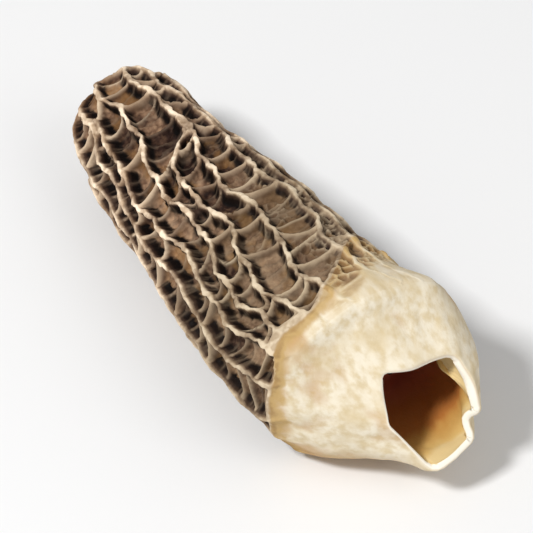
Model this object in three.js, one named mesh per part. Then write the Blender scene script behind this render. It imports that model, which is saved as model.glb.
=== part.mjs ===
// A dried morel mushroom, lying on its side: a hollow conical cap covered by a raised net of ridges and ribs,
// grown as one piece with a short, bulging, hollow stem that ends in an open mouth with an uneven edge.
//
// Millimetres. The origin is on the surface that the mushroom lies on, under the middle of its box.
// +X runs from the cap's tip towards the mouth, and +Z is up.
//
// A place on the skin is (s, a): s is the distance from the tip along the skin, and a is the angle round the
// axis, from +Y towards +Z. The skin is first drawn through the ridges' tops, and the pits are sunk below it.

import * as THREE from "three";

// ---- The body ----

// The body, measured to the ridges' tops: [distance from the tip, radius, middle's y, middle's z].
const BODY = [
  [0, 0, 1.2, 8.5],
  [0.2, 2.6, 1.2, 8.5],
  [1.0, 4.7, 1.2, 8.4],
  [3.0, 6.2, 1.2, 8.2],
  [8, 7.4, 1.2, 8.0],
  [15, 8.2, 1.1, 8.0],
  [22.5, 9.1, 1.0, 8.4],
  [30, 9.8, 0.9, 9.0],
  [37, 10.2, 0.8, 9.4],
  [43, 10.6, 1.0, 9.8],
  [47.5, 10.8, 1.4, 10.1],
  [51.5, 9.7, 2.6, 10.8],
  [54.8, 7.5, 3.7, 11.0],
  [58.0, 5.2, 4.3, 10.5],
];
const BODY_STEPS = 400; // fine steps that the outline's length is summed over
const MIDDLE = new THREE.Vector2(30.85, 1.37); // the box's middle
const SQUASH = 0.035; // wider than it is high by this share each way
const LOBES = [
  { count: 3, share: 0.022, phase: 1.1, drift: 0.05 },
  { count: 5, share: 0.014, phase: 2.3, drift: -0.06 },
  { count: 8, share: 0.006, phase: 0.4, drift: 0.09 },
]; // dried folds: waves round the body, as shares of the radius, that turn as they run along it
const DENTS = [
  { s: 17, a: 0.6, depth: 0.7, long: 6, wide: 0.35 },
  { s: 30, a: 1.55, depth: 0.5, long: 5, wide: 0.3 },
  { s: 26, a: 3.5, depth: 0.6, long: 6, wide: 0.35 },
  { s: 12, a: 2.5, depth: 0.35, long: 3, wide: 0.4 },
  { s: 55.5, a: 4.05, depth: -1.2, long: 2.6, wide: 0.35 },
  { s: 54.5, a: 0.75, depth: -1.3, long: 3.6, wide: 0.5 },
]; // hollows and swellings that drying left, in mm, with half lengths in mm and half widths in radians

// ---- The stem and its mouth ----

const RIM = 50.6; // distance from the tip to the net's edge, on average
const RIM_WAVES = [
  { reach: 3.6, count: 1, phase: -1.86 },
  { reach: 1.4, count: 2, phase: 2.53 },
  { reach: 0.85, count: 3, phase: 2.32 },
  { reach: 0.75, count: 5, phase: -0.73 },
  { reach: 0.25, count: 9, phase: 2.1 },
]; // how its edge leans and wanders
const NET_END = 55.4; // past the edge all round
const RIM_FADE = 2.6; // the pits get shallow over this distance before the edge
const RIM_STEP = { height: 0.35, from: -0.2, to: 1.2 }; // how far the cap stands proud of the stem
const MOUTH = { facing: 2.05, tilt: 0.62 }; // the cut leans, to face up and to -Y
const MOUTH_FROM = 52; // distance along the skin at which the cut starts to lean
const LIP_LENGTH = 5; // the mouth's sides fade into the round stem over this distance
const MOUTH_CORNERS = [
  [-0.78, 5.3],
  [-0.5, 4.2],
  [-0.26, 5.0],
  [0.3, 5.2],
  [0.8, 6.0],
  [2.25, 4.9],
  [3.35, 4.2],
  [4.5, 5.9],
]; // the mouth's outline, as angles and radii; the second corner is a fold in the lip
const MOUTH_SOFT = 0.1; // rounds the corners, in radians
const NOTCH = { a: -0.48, depth: 0.4, wide: 0.15 }; // a tear in the lip
const LIP_WAVE = { reach: 0.3, count: 4, phase: 1 };
const WALL = 1.0; // thickness under the pits and in the stem
const FOLD = { into: 4.2, a: 0.32, depth: 3.0, long: 2.4, wide: 0.5 }; // a fold of the wall inside the mouth
const HOLLOW_FROM = 8.5; // distance along the skin at which the hollow inside starts

// ---- The net ----

const SEED = 4;
const ROW = 0.8; // distance between rows of points along the cap, and the step that ribs are placed by
const FIRST_ROW = 0.9;
const TIP_RIDGES = 12;
const SPLITS = [1, 1, 0, 1, 0, 1, 1, 0, 1, 0, 1, 0]; // which ridges fork on their way from the tip to the rim
const UNEVEN = { tip: 0.5, rim: 0.9 }; // the ridges stray from even gaps by up to these shares of a gap
const FORK_FROM = [5, 18]; // distances from the tip at which they fork
const FORK_SHARE = [0.36, 0.64]; // a fork's new arm runs at this share of the way to the next ridge
const FORK_LENGTH = 7; // distance over which a fork's two arms part
const CREST = 0.55; // width of a ridge's top
const FLANK = 0.55; // width of its side
const FLANK_DEPTH = 0.86; // depth at the side's foot, as a share of the pit's
const LEAST_PIT = 0.4; // a narrower pit is closed
const FULL_PIT = 1.8; // a pit as wide as this has its full depth
const LEAST_GAP = 0.45; // ridges that meet run on side by side, this far apart
const PIT = 1.75; // depth of a pit halfway down the cap
const PIT_START = [0.8, 5]; // the pits begin between these distances from the tip
const TIP_PIT = { share: 0.5, from: 2, to: 16 }; // and have this share of their depth near it
const WANDER = [
  { reach: 0.6, length: 17 },
  { reach: 0.28, length: 7.3 },
]; // how the ridges snake: mm to each side, and mm from one bend to the next
const BEND_SPREAD = [0.8, 1.2]; // each ridge's bends are longer or shorter by a share between these
const STRAIGHT = 6; // the ridges start to snake over this distance from the tip
const FORK_SNAKE = 0.4; // a fork's new arm snakes less, by this share
const KINK = { reach: 0.12, length: 1 }; // a rib pulls its ridges towards it
const FIRST_RIB = { row: 3, fork: 2.5, spread: 3 }; // the least row, the least mm past a fork, and rows more
const RIB_GAP = [2, 4]; // rows from one rib to the next
const RIB_HEIGHT = [0.3, 1.2]; // as a share of the pit's depth
const TALLEST_RIB = 0.96;
const SLANTED = 0.25; // this share of the ribs slants each way
const SAG = { depth: 0.28, length: 5.5 }; // the ridges' tops dip by up to this, once in this distance

// ---- How fine the stem and the hollow are ----

const STEM_ROW = 1.25;
const STEM_COLUMNS = 40;
const HOLLOW_ROW = 3.2;
const HOLLOW_COLUMNS = 22;

const TURN = 2 * Math.PI;
const { clamp, smoothstep, lerp } = THREE.MathUtils;

// A number from 0 to 1 that is always the same for the same i and j.
function draw(i, j) {
  const x = Math.sin(i * 127.1 + j * 311.7 + SEED * 74.7) * 43758.5453;
  return x - Math.floor(x);
}

// ---- The outline as a curve of known length ----

const outline = new THREE.SplineCurve(BODY.map(([x, r]) => new THREE.Vector2(x, r)));
const middle = new THREE.SplineCurve(BODY.map(([, , y, z]) => new THREE.Vector2(y, z)));
outline.arcLengthDivisions = BODY_STEPS;
const LENGTH = outline.getLength();

// The body's plain round section at s.
function bodyAt(s) {
  const t = outline.getUtoTmapping(clamp(s / LENGTH, 0, 1));
  const [section, centre] = [outline.getPoint(t), middle.getPoint(t)];
  return { x: section.x, radius: section.y, y: centre.x, z: centre.y };
}

// ---- The skin through the ridges' tops ----

const bump = (distance, reach) => Math.exp(-((distance / reach) ** 2));
const turnBetween = (a, b) => Math.atan2(Math.sin(a - b), Math.cos(a - b));

function dentAt(dent, s, a) {
  return dent.depth * bump(s - dent.s, dent.long) * bump(turnBetween(a, dent.a), dent.wide);
}

const dents = (s, a) => DENTS.reduce((sum, dent) => sum + dentAt(dent, s, a), 0);

// Radius of the mouth's outline, straight from corner to corner.
function mouthRadius(a) {
  const corners = [...MOUTH_CORNERS, [MOUTH_CORNERS[0][0] + TURN, MOUTH_CORNERS[0][1]]];
  const turn = THREE.MathUtils.euclideanModulo(a - corners[0][0], TURN) + corners[0][0];
  const k = Math.max(1, corners.findIndex(([angle]) => angle > turn));
  const [[from, near], [to, far]] = [corners[k - 1], corners[k]];
  return (near * far * Math.sin(to - from)) / (near * Math.sin(turn - from) + far * Math.sin(to - turn));
}

// How much the skin at (s, a) stands out of the outline's plain radius, as a share of it.
function shape(s, a) {
  const folds = LOBES.reduce(
    (sum, lobe) => sum + lobe.share * Math.cos(lobe.count * a + lobe.phase + lobe.drift * s),
    0,
  );
  const [before, after] = [mouthRadius(a - MOUTH_SOFT), mouthRadius(a + MOUTH_SOFT)];
  const mouth = 0.4 * mouthRadius(a) + 0.3 * (before + after);
  return lerp(folds, mouth / BODY.at(-1)[1] - 1, smoothstep(s, LENGTH - LIP_LENGTH, LENGTH));
}

const waveAt = (wave, a) => wave.reach * Math.sin(wave.count * a + wave.phase);

// Where the net ends at the angle a.
const rimAt = (a) => RIM_WAVES.reduce((sum, wave) => sum + waveAt(wave, a), RIM);

function skin(s, a) {
  const body = bodyAt(s);
  const mouth = smoothstep(s, MOUTH_FROM, LENGTH);
  const past = s - rimAt(a);
  const step = RIM_STEP.height * smoothstep(past, RIM_STEP.from, RIM_STEP.to) * (1 - mouth);
  const r = body.radius * (1 + shape(s, a)) - dents(s, a) - step;
  const lean = Math.tan(MOUTH.tilt) * r * Math.cos(a - MOUTH.facing) * mouth;
  const tear = NOTCH.depth * bump(turnBetween(a, NOTCH.a), NOTCH.wide) * mouth ** 4;
  return new THREE.Vector3(
    body.x - lean - tear + waveAt(LIP_WAVE, a) * mouth - MIDDLE.x,
    body.y + r * Math.cos(a) * (1 + SQUASH) - MIDDLE.y,
    body.z + r * Math.sin(a) * (1 - SQUASH),
  );
}

// The point that lies the given depth under (s, a), kept above the surface that the mushroom lies on.
function sunk(s, a, depth, floor = 0) {
  const ds = 0.05;
  const da = 0.01;
  const along = skin(s + ds, a).sub(skin(s - ds, a));
  const round = skin(s, a + da).sub(skin(s, a - da));
  const out = round.cross(along).normalize();
  const point = skin(s, a).addScaledVector(out, -depth);
  point.z = Math.max(point.z, floor);
  return point;
}

// ---- Ridges ----

// Every ridge in its order round the cap: the ones that start at the tip, and the arms that fork off them.
function listRidges() {
  const atRim = TIP_RIDGES + SPLITS.reduce((sum, splits) => sum + splits, 0);
  const ridges = [];
  for (let i = 0; i < TIP_RIDGES; i++) {
    const id = ridges.length;
    ridges.push({
      id,
      start: -Infinity,
      tip: (TURN * (i + UNEVEN.tip * (draw(i, 1) - 0.5))) / TIP_RIDGES,
      rim: (TURN * (id + UNEVEN.rim * (draw(i, 2) - 0.5))) / atRim,
    });
    const [start, share] = [lerp(...FORK_FROM, draw(i, 3)), lerp(...FORK_SHARE, draw(i, 4))];
    if (SPLITS[i]) ridges.push({ id: id + 1, start, share });
  }
  ridges.forEach((ridge, k) => {
    ridge.left = ridges[(k + ridges.length - 1) % ridges.length];
    ridge.right = ridges[(k + 1) % ridges.length];
    ridge.ribs = listRibs(ridge);
  });
  return ridges;
}

// The ribs across the pits on the ridge's left side. A slanting one ends a row away from its middle.
function listRibs(ridge) {
  const ribs = [];
  const first = Math.max(FIRST_RIB.row, Math.ceil((ridge.start + FIRST_RIB.fork - FIRST_ROW) / ROW));
  let row = first + Math.floor(FIRST_RIB.spread * draw(ridge.id, 10));
  for (let k = 0; FIRST_ROW + row * ROW < NET_END - 1; k++) {
    const turn = draw(ridge.id, 120 + k);
    const slant = ROW * ((turn < SLANTED) - (turn > 1 - SLANTED));
    const height = Math.min(TALLEST_RIB, lerp(...RIB_HEIGHT, draw(ridge.id, 40 + k)));
    ribs.push({ s: FIRST_ROW + row * ROW, slant, height });
    row += RIB_GAP[0] + Math.floor((RIB_GAP[1] - RIB_GAP[0] + 1) * draw(ridge.id, 80 + k));
  }
  return ribs;
}

const RIDGES = listRidges();

// The angle of a ridge's middle line at s. Angles grow from one ridge to the next, and ridge 0 comes first.
function ridgeAngle(ridge, s) {
  const mm = 1 / Math.max(bodyAt(s).radius, 1);
  const pull = (ribs, side) =>
    ribs.reduce((sum, rib) => sum + rib.height * bump(s - rib.s - side * rib.slant, KINK.length), 0);
  const snake = WANDER.reduce((sum, wave, k) => {
    const length = wave.length * lerp(...BEND_SPREAD, draw(ridge.id, 24 + k));
    return sum + wave.reach * Math.sin((TURN * s) / length + TURN * draw(ridge.id, 20 + k));
  }, 0);
  const kink = KINK.reach * (pull(ridge.right.ribs, -1) - pull(ridge.ribs, 1));
  const free = (snake + kink) * mm * smoothstep(s, 0, STRAIGHT);
  if (ridge.start < 0) return lerp(ridge.tip, ridge.rim, smoothstep(s, 0, RIM)) + free;
  const left = ridgeAngle(ridge.left, s);
  const after = ridge.right.id === 0 ? TURN : 0;
  const gap = ridgeAngle(ridge.right, s) + after - left;
  const parted = smoothstep(s, ridge.start, ridge.start + FORK_LENGTH);
  return left + gap * ridge.share * parted + FORK_SNAKE * free * parted;
}

// How deep the pits are at (s, a), before narrow ones are made shallower.
function pitDepth(s, a) {
  const tip = smoothstep(s, ...PIT_START) * lerp(TIP_PIT.share, 1, smoothstep(s, TIP_PIT.from, TIP_PIT.to));
  const rim = 1 - smoothstep(s, rimAt(a) - RIM_FADE, rimAt(a));
  return PIT * tip * rim;
}

// ---- Rows of points round the body ----

// How far the ridge's top dips at s.
function sag(ridge, s) {
  const wave = 0.5 - 0.5 * Math.cos((TURN * s) / SAG.length + TURN * draw(ridge.id, 30));
  return SAG.depth * wave * (pitDepth(s, ridgeAngle(ridge, s)) / PIT);
}

// One row of the cap: two points on each ridge's top, and one to three across each pit.
function capRow(s) {
  const mm = 1 / bodyAt(s).radius;
  const present = RIDGES.filter((ridge) => ridge.start < s);
  const angles = present.map((ridge) => ridgeAngle(ridge, s));
  for (let k = 1; k < angles.length; k++) angles[k] = Math.max(angles[k], angles[k - 1] + LEAST_GAP * mm);
  angles.push(angles[0] + TURN);
  const row = [];
  const add = (a, depth) => row.push(sunk(s, a, depth));
  present.forEach((ridge, k) => {
    const next = present[(k + 1) % present.length];
    const from = angles[k] + (CREST / 2) * mm;
    const to = angles[k + 1] - (CREST / 2) * mm;
    const middle = (from + to) / 2;
    const width = (to - from) / mm;
    if (width < LEAST_PIT || pitDepth(s, middle) === 0) {
      add(middle, 0);
      return;
    }
    const onRib = (side) => (rib) => Math.abs(rib.s + side * rib.slant - s) < ROW / 2;
    const floor = (a, side, share) => {
      const rib = next.ribs.find(onRib(side))?.height ?? 0;
      add(a, pitDepth(s, a) * smoothstep(width, LEAST_PIT, FULL_PIT) * share * (1 - rib));
    };
    add(from, sag(ridge, s));
    if (width > 2 * FLANK + LEAST_PIT) {
      floor(from + FLANK * mm, -1, FLANK_DEPTH);
      floor(middle, 0, 1);
      floor(to - FLANK * mm, 1, FLANK_DEPTH);
    } else floor(middle, 0, FLANK_DEPTH);
    add(to, sag(next, s));
  });
  return row;
}

// One plain row of the stem or of the hollow. Every row starts near ridge 0, so that rows line up.
function plainRow(s, depthAt, columns, floor = 0) {
  return Array.from({ length: columns }, (_, k) => {
    const a = RIDGES[0].rim + (TURN * k) / columns;
    return sunk(s, a, depthAt(a), floor);
  });
}

// ---- Joining rows into one closed skin ----

class Shell {
  points = [];
  faces = [];

  add(point) {
    return { point, index: this.points.push(point) - 1 };
  }

  // Fills the band between two rows, taking the shorter way across at each step.
  band(low, high) {
    const at = (row, k) => row[k % row.length];
    let i = 0;
    let j = 0;
    while (i < low.length || j < high.length) {
      const acrossFromLow = at(low, i + 1).point.distanceTo(at(high, j).point);
      const acrossFromHigh = at(low, i).point.distanceTo(at(high, j + 1).point);
      const stepLow = j >= high.length || (i < low.length && acrossFromLow < acrossFromHigh);
      const third = stepLow ? at(low, i + 1) : at(high, j + 1);
      this.faces.push(at(low, i).index, third.index, at(high, j).index);
      if (stepLow) i += 1;
      else j += 1;
    }
  }

  // Closes the first or the last row with a fan to one point.
  fan(row, point, first) {
    const centre = this.add(point);
    row.forEach((corner, k) => {
      const next = row[(k + 1) % row.length];
      const [from, to] = first ? [next, corner] : [corner, next];
      this.faces.push(centre.index, from.index, to.index);
    });
  }

  geometry() {
    return new THREE.BufferGeometry()
      .setAttribute("position", new THREE.Float32BufferAttribute(this.points.flatMap((p) => p.toArray()), 3))
      .setIndex(this.faces);
  }
}

// The places from one end to the other, both included, about a step apart.
function spaced(from, to, step) {
  const count = Math.round((to - from) / step);
  return Array.from({ length: count + 1 }, (_, k) => lerp(from, to, k / count));
}

function middleOf(points) {
  const sum = points.reduce((total, point) => total.add(point), new THREE.Vector3());
  return sum.divideScalar(points.length);
}

// The whole skin: out along the cap and the stem to the lip, and back along the hollow.
function makeMorel() {
  const capRows = [];
  for (let s = FIRST_ROW; s < NET_END; s += ROW) capRows.push(capRow(s));
  const stemRows = spaced(NET_END + ROW / 2, LENGTH, STEM_ROW).map((s) => plainRow(s, () => 0, STEM_COLUMNS));
  const lipRow = plainRow(LENGTH, () => WALL, HOLLOW_COLUMNS, WALL);
  const fold = { s: LENGTH - FOLD.into, ...FOLD };
  const hollowRows = spaced(LENGTH - WALL, HOLLOW_FROM, -HOLLOW_ROW).map((s) =>
    plainRow(s, (a) => pitDepth(s, a) + WALL + dentAt(fold, s, a), HOLLOW_COLUMNS, WALL),
  );

  const shell = new Shell();
  const allRows = [...capRows, ...stemRows, lipRow, ...hollowRows];
  const rows = allRows.map((row) => row.map((point) => shell.add(point)));
  rows.slice(1).forEach((row, k) => shell.band(rows[k], row));
  shell.fan(rows[0], skin(0, 0), true);
  const hollowEnd = middleOf(hollowRows.at(-1));
  hollowEnd.x -= WALL;
  shell.fan(rows.at(-1), hollowEnd, false);
  return shell.geometry();
}

const morel = new THREE.Mesh(
  makeMorel(),
  new THREE.MeshStandardMaterial({ color: "#6b533b", roughness: 0.85, metalness: 0 }),
);
morel.name = "morel";

const model = new THREE.Group();
model.add(morel);

export default model;
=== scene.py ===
"""A dried morel mushroom lying on its side: its fine surface, its colours, and the light and camera.

The body, its mouth and the net of ridges follow the same formulas as the solid model, in millimetres, but
finer. A place on the skin is (s, a): s is the distance from the cap's tip along the skin, and a is the angle
round the axis, from +Y towards +Z.
"""

import math

import bpy
import numpy as np
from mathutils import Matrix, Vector


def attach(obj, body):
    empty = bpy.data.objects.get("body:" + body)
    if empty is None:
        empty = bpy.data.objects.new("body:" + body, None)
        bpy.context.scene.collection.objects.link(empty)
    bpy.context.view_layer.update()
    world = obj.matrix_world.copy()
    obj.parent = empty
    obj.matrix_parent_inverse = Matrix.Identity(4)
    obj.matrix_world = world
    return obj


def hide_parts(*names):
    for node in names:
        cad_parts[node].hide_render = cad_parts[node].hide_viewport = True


TURN = 2 * math.pi
MM = 0.001

# ---- The body, as in the solid model ----

BODY = np.array(
    [
        [0, 0, 1.2, 8.5],
        [0.2, 2.6, 1.2, 8.5],
        [1.0, 4.7, 1.2, 8.4],
        [3.0, 6.2, 1.2, 8.2],
        [8, 7.4, 1.2, 8.0],
        [15, 8.2, 1.1, 8.0],
        [22.5, 9.1, 1.0, 8.4],
        [30, 9.8, 0.9, 9.0],
        [37, 10.2, 0.8, 9.4],
        [43, 10.6, 1.0, 9.8],
        [47.5, 10.8, 1.4, 10.1],
        [51.5, 9.7, 2.6, 10.8],
        [54.8, 7.5, 3.7, 11.0],
        [58.0, 5.2, 4.3, 10.5],
    ]
)  # measured to the ridges' tops: distance from the tip, radius, middle's y, middle's z
BODY_STEPS = 400  # fine steps that the outline's length is summed over
MIDDLE = (30.85, 1.37)  # the box's middle, in x and y
SQUASH = 0.035  # wider than it is high by this share each way
LOBES = [
    (3, 0.022, 1.1, 0.05),
    (5, 0.014, 2.3, -0.06),
    (8, 0.006, 0.4, 0.09),
]  # dried folds, as waves round the body: count, share of the radius, phase, turn along it
DENTS = [
    (17, 0.6, 0.7, 6, 0.35),
    (30, 1.55, 0.5, 5, 0.3),
    (26, 3.5, 0.6, 6, 0.35),
    (12, 2.5, 0.35, 3, 0.4),
    (55.5, 4.05, -1.2, 2.6, 0.35),
    (54.5, 0.75, -1.3, 3.6, 0.5),
]  # hollows and swellings: s, a, depth, half length in mm, half width in radians

# ---- The stem and its mouth, as in the solid model ----

RIM = 50.6  # distance from the tip to the net's edge, on average
RIM_WAVES = [
    (3.6, 1, -1.86),
    (1.4, 2, 2.53),
    (0.85, 3, 2.32),
    (0.75, 5, -0.73),
    (0.25, 9, 2.1),
]  # how its edge leans and wanders: reach, count, phase
NET_END = 55.4  # past the edge all round
RIM_FADE = 2.6  # the solid's pits get shallow over this distance before the edge
RIM_STEP = (0.35, -0.2, 1.2)  # the cap stands this proud of the stem; the step's start and end past the edge
MOUTH_FACING = 2.05  # the cut leans, to face up and to -Y
MOUTH_TILT = 0.62
MOUTH_FROM = 52  # distance along the skin at which it starts to lean
LIP_LENGTH = 5  # the mouth's sides fade into the round stem over this distance
MOUTH_CORNERS = [
    (-0.78, 5.3),
    (-0.5, 4.2),
    (-0.26, 5.0),
    (0.3, 5.2),
    (0.8, 6.0),
    (2.25, 4.9),
    (3.35, 4.2),
    (4.5, 5.9),
    (-0.78 + TURN, 5.3),
]  # the mouth's outline: angle, radius; the second corner is a fold in the lip
MOUTH_SOFT = 0.1  # its corners are rounded by a mean of places this many radians apart
MOUTH_MEAN = [(-1, 0.3), (0, 0.4), (1, 0.3)]  # those places, in such steps, and their shares of the mean
NOTCH = (-0.48, 0.4, 0.15)  # a tear in the lip: a, depth, half width in radians
LIP_WAVE = (0.3, 4, 1)  # reach, count, phase
WALL = 1.0  # thickness under the pits and in the stem
FOLD = (4.2, 0.32, 3.0, 2.4, 0.5)  # of the wall: distance in from the lip, a, depth, half length, half width
HOLLOW_FROM = 8.5  # distance along the skin at which the hollow inside starts

# ---- The net, as in the solid model ----

SEED = 4
HASH = (127.1, 311.7, 74.7)  # any large uneven numbers scatter the draws
HASH_GAIN = 43758.5453
ROW = 0.8  # the step that ribs are placed by
FIRST_ROW = 0.9
TIP_RIDGES = 12
SPLITS = [1, 1, 0, 1, 0, 1, 1, 0, 1, 0, 1, 0]  # which ridges fork on their way from the tip to the rim
UNEVEN_TIP, UNEVEN_RIM = 0.5, 0.9  # the ridges stray from even gaps by up to these shares of a gap
FORK_FROM = (5, 18)  # distances from the tip at which they fork
FORK_SHARE = (0.36, 0.64)  # a fork's new arm runs at this share of the way to the next ridge
FORK_LENGTH = 7  # distance over which a fork's two arms part
CREST = 0.55  # width of the solid's ridges' tops
LEAST_PIT = 0.4  # a narrower pit is closed
FULL_PIT = 1.8  # a pit as wide as this has its full depth
LEAST_GAP = 0.45  # ridges that meet run on side by side, this far apart
PIT = 1.75  # depth of a pit halfway down the cap
PIT_START = (0.8, 5)  # the pits begin between these distances from the tip
TIP_PIT = (0.5, 2, 16)  # and go from this share of their depth to all of it between these
WANDER = [(0.6, 17), (0.28, 7.3)]  # how the ridges snake: mm to each side, and mm from one bend to the next
BEND_SPREAD = (0.8, 1.2)  # each ridge's bends are longer or shorter by a share between these
STRAIGHT = 6  # the ridges start to snake over this distance from the tip
FORK_SNAKE = 0.4  # a fork's new arm snakes less, by this share
KINK = (0.12, 1.0)  # a rib pulls its ridges towards it: reach, half length
FIRST_RIB = (3, 2.5, 3)  # the least row, the least mm past a fork, and rows more
RIB_GAP = (2, 4)  # rows from one rib to the next
RIB_HEIGHT = (0.3, 1.2)  # as a share of the pit's depth
TALLEST_RIB = 0.96
SLANTED = 0.25  # this share of the ribs slants each way
SAG = (0.28, 5.5)  # the ridges' tops dip by up to this, once in this distance

# ---- The ridges as the picture shows them: finer and sharper than the solid's ----

FINE_ROW = 0.19  # distance between rows along the cap
FINE_START = 0.35  # the first row's distance from the tip
EDGE = (0.13, 0.3)  # half the width of a ridge's top, at least and at most
EDGE_WAVES = [(0.38, 1.7), (0.12, 5.3)]  # how it changes along the ridge: share, radians in a mm
EDGE_PHASE = 9  # the first of these waves starts anywhere in this many radians
CRINKLE = [(0.10, 1.9), (0.035, 0.8)]  # small bends of a ridge's top: reach, length
CRINKLE_SWAY = (1.3, 0.7)  # which come unevenly: radians to and fro, and radians in a mm
CRINKLE_START = (1, 6)  # and begin between these distances from the tip
COLUMN_PLACES = [0.8, 1.0, 1.35, 2.0, 3.0, 4.2]  # columns down a ridge's side, as shares of half its top
COLUMN_GAP = 0.03  # they stop this far from the pit's middle
FLOOR_STEP, LACE_FLOOR_STEP = 0.42, 0.24  # distance between columns on a pit's floor, and in the lace
LACE_COLUMNS = (0.1, 0.4)  # the shares of lace over which the one gives way to the other
CREST_ROUND = 0.05  # a ridge's top is rounded by this much
ROOT, ROOT_LENGTH = 0.13, 2.6  # the ridges run on over the stem, this high and this far
ROOT_START = -1  # from this place past the rim
SAG_ACROSS = (0.2, 0.8)  # shares of the way across a pit over which one ridge's dip gives way to the other's

# ---- The pits ----

DEEPER = 1.14  # the pits' floors lie deeper than the solid's by this factor
FINE_PIT_START = (0.5, 4)  # the pits begin between these distances from the tip
FINE_TIP_PIT = (0.55, 2, 14)  # and go from this share of their depth to all of it between these
COLLAR = 0.45  # width of the smooth band along the rim
FINE_RIM_FADE = 1.0  # the pits get shallow over this distance before it
PIT_END = (-0.9, 0.6)  # each pit ends this much past its usual place
FOOT = 0.48  # distance from the edge of a ridge's top to its side's foot
FOOT_SHARE = 0.4  # and at most this share of the pit's width
FOOT_DEPTH = 0.84  # depth at the side's foot, as a share of the pit's
WALL_CURVE = 1.8  # how steeply the side starts
BOWL = 1.2  # distance from the foot over which the floor gets to its full depth
FLOOR_SHOWS = (0.75, 1.7)  # the floor's colour starts and is full at these shares of the foot's distance
FLOOR_DEPTH = (0.2, 0.9)  # and at these depths

# ---- Ribs and wrinkles across the pits ----

RIB_EDGE = (0.07, 0.48)  # a rib's top and foot, in mm from its middle
RIB_TOP = (0.05, 0.3)  # its pale top fades out over this distance from its middle
RIB_PALENESS = (0.2, 1.2)  # which is as pale as this, from rib to rib
RIB_BOW = (-0.3, 0.8)  # how far it bows towards the stem
RIB_DIP = 0.14  # and is lower by this share at its middle
RIB_FOOT = 0.5  # and broader by this share at its ends
RIB_REACH = 4  # it and its wrinkles lie within this distance
RIB_START = 0.4  # ribs and veins start this share of the way down a ridge's side
WRINKLES = 3  # small wrinkles on a pit's floor for each rib
WRINKLE_PLACE = (-0.32, 2.88)  # in mm past the rib
WRINKLE_HEIGHT = (0.06, 0.34)  # as a share of the pit's depth
WRINKLE_EDGE = (0.0, 0.3)  # top and foot, in mm from its middle
WRINKLE_SLANT = (-0.8, 0.8)  # mm along the cap from the pit's middle to its side
WRINKLE_REACH = (-0.6, 2.0)  # how far across the pit one runs, which is -1 to 1 wide
WRINKLE_FADE = (-0.5, 0.3)  # it fades out from and to these places past that
WRINKLE_PALE = 0.4  # their tops are as pale as a rib's by this share

# ---- The lace and its veins ----

LACE_FACING, LACE_WIDTH = 1.15, 0.42  # where the net is a finer, flatter lace
LACE_FROM = (18, 38)  # distance from the tip over which it begins
LACE_FLAT = 0.3  # the pits are shallower by this share there
LACE_PAST_RIM, LACE_DEPTH = 4.5, 0.9  # it runs on over the stem this far, and starts this deep
LACE_HOLES = (-2, 0, 0.5)  # its holes begin, are full, and start to fade at these places past the rim
VEIN_CELL = 1.2  # size of the smallest cells, which fill the lace and mark the other pits' floors
VEIN_COUNT = 56  # such cells round the body
VEIN_STRAY = (0.15, 0.85)  # a cell's middle lies between these shares of its place
VEIN_GAIN = 24634.6345  # for its second draw
VEIN_NEAR = 2  # a point is between cells at most this many places away
VEIN_HEIGHT = (0.22, 0.6, 1.0)  # shares of the pit's depth: outside the lace, in it, and past the rim
VEIN_EDGE = (0.0, 0.5)  # it stands where the two nearest cells' middles are about as far, to within this
VEIN_GAPS = (2.2, -0.9, -0.1)  # veins fade out in places: size in mm, and the noise they fade over
VEIN_ROUND = 10  # radius at which that noise is read
VEIN_NOISE = 8  # its number

# ---- The stem, the lip and the hollow ----

LIP_WALL = (0.72, 0.24, 0.3)  # thickness of the lip's edge: middle, reach, facing
LIP_ROUND = 0.3  # how far its rounded edge stands out
LIP_TAPER = 4.0  # the wall reaches its full thickness over this distance
LIP_ROWS = 7
STEM_COLUMNS = 190
STEM_ROW = 0.26
HOLLOW_COLUMNS = 90
HOLLOW_ROW = 0.8
HOLLOW_FLOOR = 0.6 * WALL  # the hollow lies at least this high

# What drying pushed in or out: reach in mm, size of the lumps in mm, number of the noise.
CAP_GRAIN = [(0.06, 1.1, 4), (0.045, 0.5, 5)]
STEM_FOLDS = [(0.20, 2.4, 1), (0.08, 1.0, 2)]
STEM_GRAIN = [(0.03, 0.55, 3)]
HOLLOW_FOLDS = [(0.25, 2.0, 6)]
HOLLOW_GRAIN = [(0.08, 0.9, 7)]
FOLDS_LONG = (0.3, 1, 1)  # the folds' places are scaled so, which makes them long
CAP_GRAIN_END = (-1, 0.5)  # the cap's grain gives way to the stem's between these places past the rim
NOISE_SHIFT = 13.7  # moves each noise to a place of its own

# ---- The flat picture of the skin, for baking ----

PATH_STEP = 0.02  # added to each row's distance, so that no two rows lie on each other
TIP_PATH, END_PATH = -0.3, 2  # the two end points lie this far past the first and last rows
UV_START, UV_WIDE = 0.06, 1.14  # turns before the first angle, and turns in the picture's width
UV_EDGE = 0.005  # share left free at its top and bottom
TIP_DEPTH, END_DEPTH = 0.3, 2  # the end points' depth, which sets their colour


def smoothstep(x, low, high):
    t = np.clip((x - low) / (high - low), 0, 1)
    return t * t * (3 - 2 * t)


def lerp(a, b, t):
    return a + (b - a) * t


def bump(distance, reach):
    return np.exp(-((distance / reach) ** 2))


def turn_between(a, b):
    return np.arctan2(np.sin(a - b), np.cos(a - b))


def draw(i, j):
    """A number from 0 to 1 that is always the same for the same i and j; each use has its own j."""
    x = math.sin(i * HASH[0] + j * HASH[1] + SEED * HASH[2]) * HASH_GAIN
    return x - math.floor(x)


def scatter(x, gain):
    """Numbers from 0 to 1 that are always the same for the same x."""
    return np.mod(np.sin(x) * gain, 1)


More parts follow.
